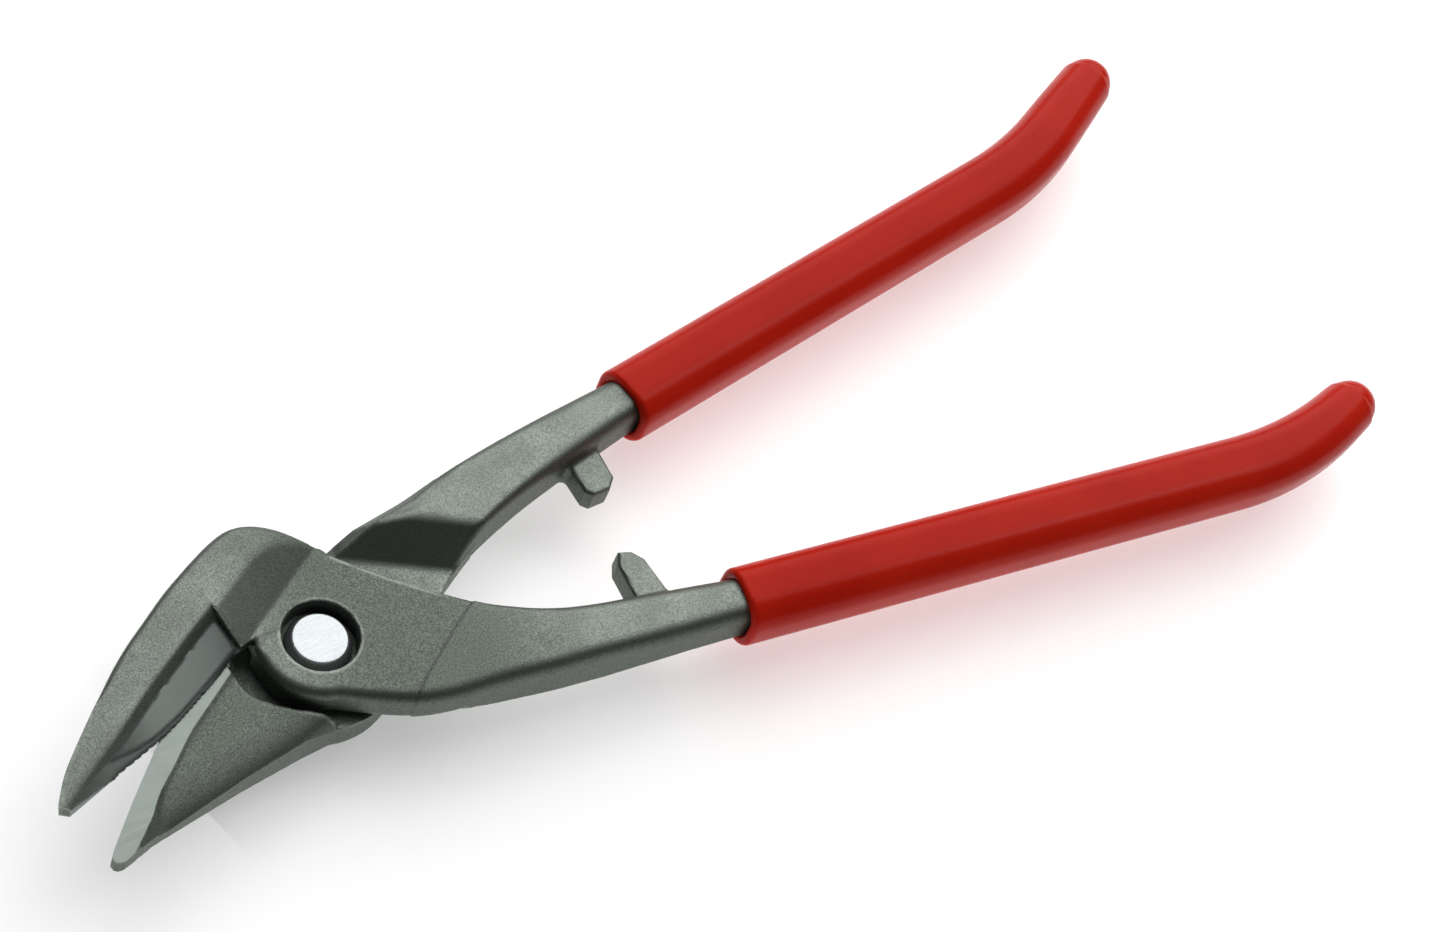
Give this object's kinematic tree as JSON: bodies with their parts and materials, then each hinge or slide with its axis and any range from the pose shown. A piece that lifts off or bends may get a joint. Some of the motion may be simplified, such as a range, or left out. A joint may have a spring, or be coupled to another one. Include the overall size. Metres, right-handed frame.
{
  "type": "tin snips",
  "caption": "Hand shears for sheet metal: crossed forged levers on a pivot bolt, offset bent blades, dipped grips, stop lugs.",
  "frame": {"origin": "centre of the flat face of the pivot bolt's head, on the pivot axis", "axes": "+Z along the pivot axis out of the front face; +X from the pivot towards the grips, midway between the handles; the blades point towards -X"},
  "size_m": [0.2724, 0.1042, 0.0268],
  "materials": {
    "forged_steel": "bead-blasted forged steel, satin, fine grain",
    "dipped_grip": "smooth glossy dipped plastic",
    "zinc_plate": "bright zinc plate",
    "spring_steel": "dark oiled spring steel",
    "nylon": "moulded nylon"
  },
  "bodies": {
    "front_half": {"front_lever": "forged_steel", "front_grip": "dipped_grip", "pivot_bolt": "zinc_plate", "disc_spring": "spring_steel", "pivot_nut": "zinc_plate", "nut_lock_ring": "nylon"},
    "rear_half": {"rear_lever": "forged_steel", "rear_grip": "dipped_grip", "thrust_washer": "zinc_plate"}
  },
  "joints": [
    {"name": "pivot", "type": "hinge", "parent": "front_half", "child": "rear_half", "pos_m": [0, 0, -0.005], "axis": [0, 0, 1], "range_deg": [-11.7, 11]}
  ]
}
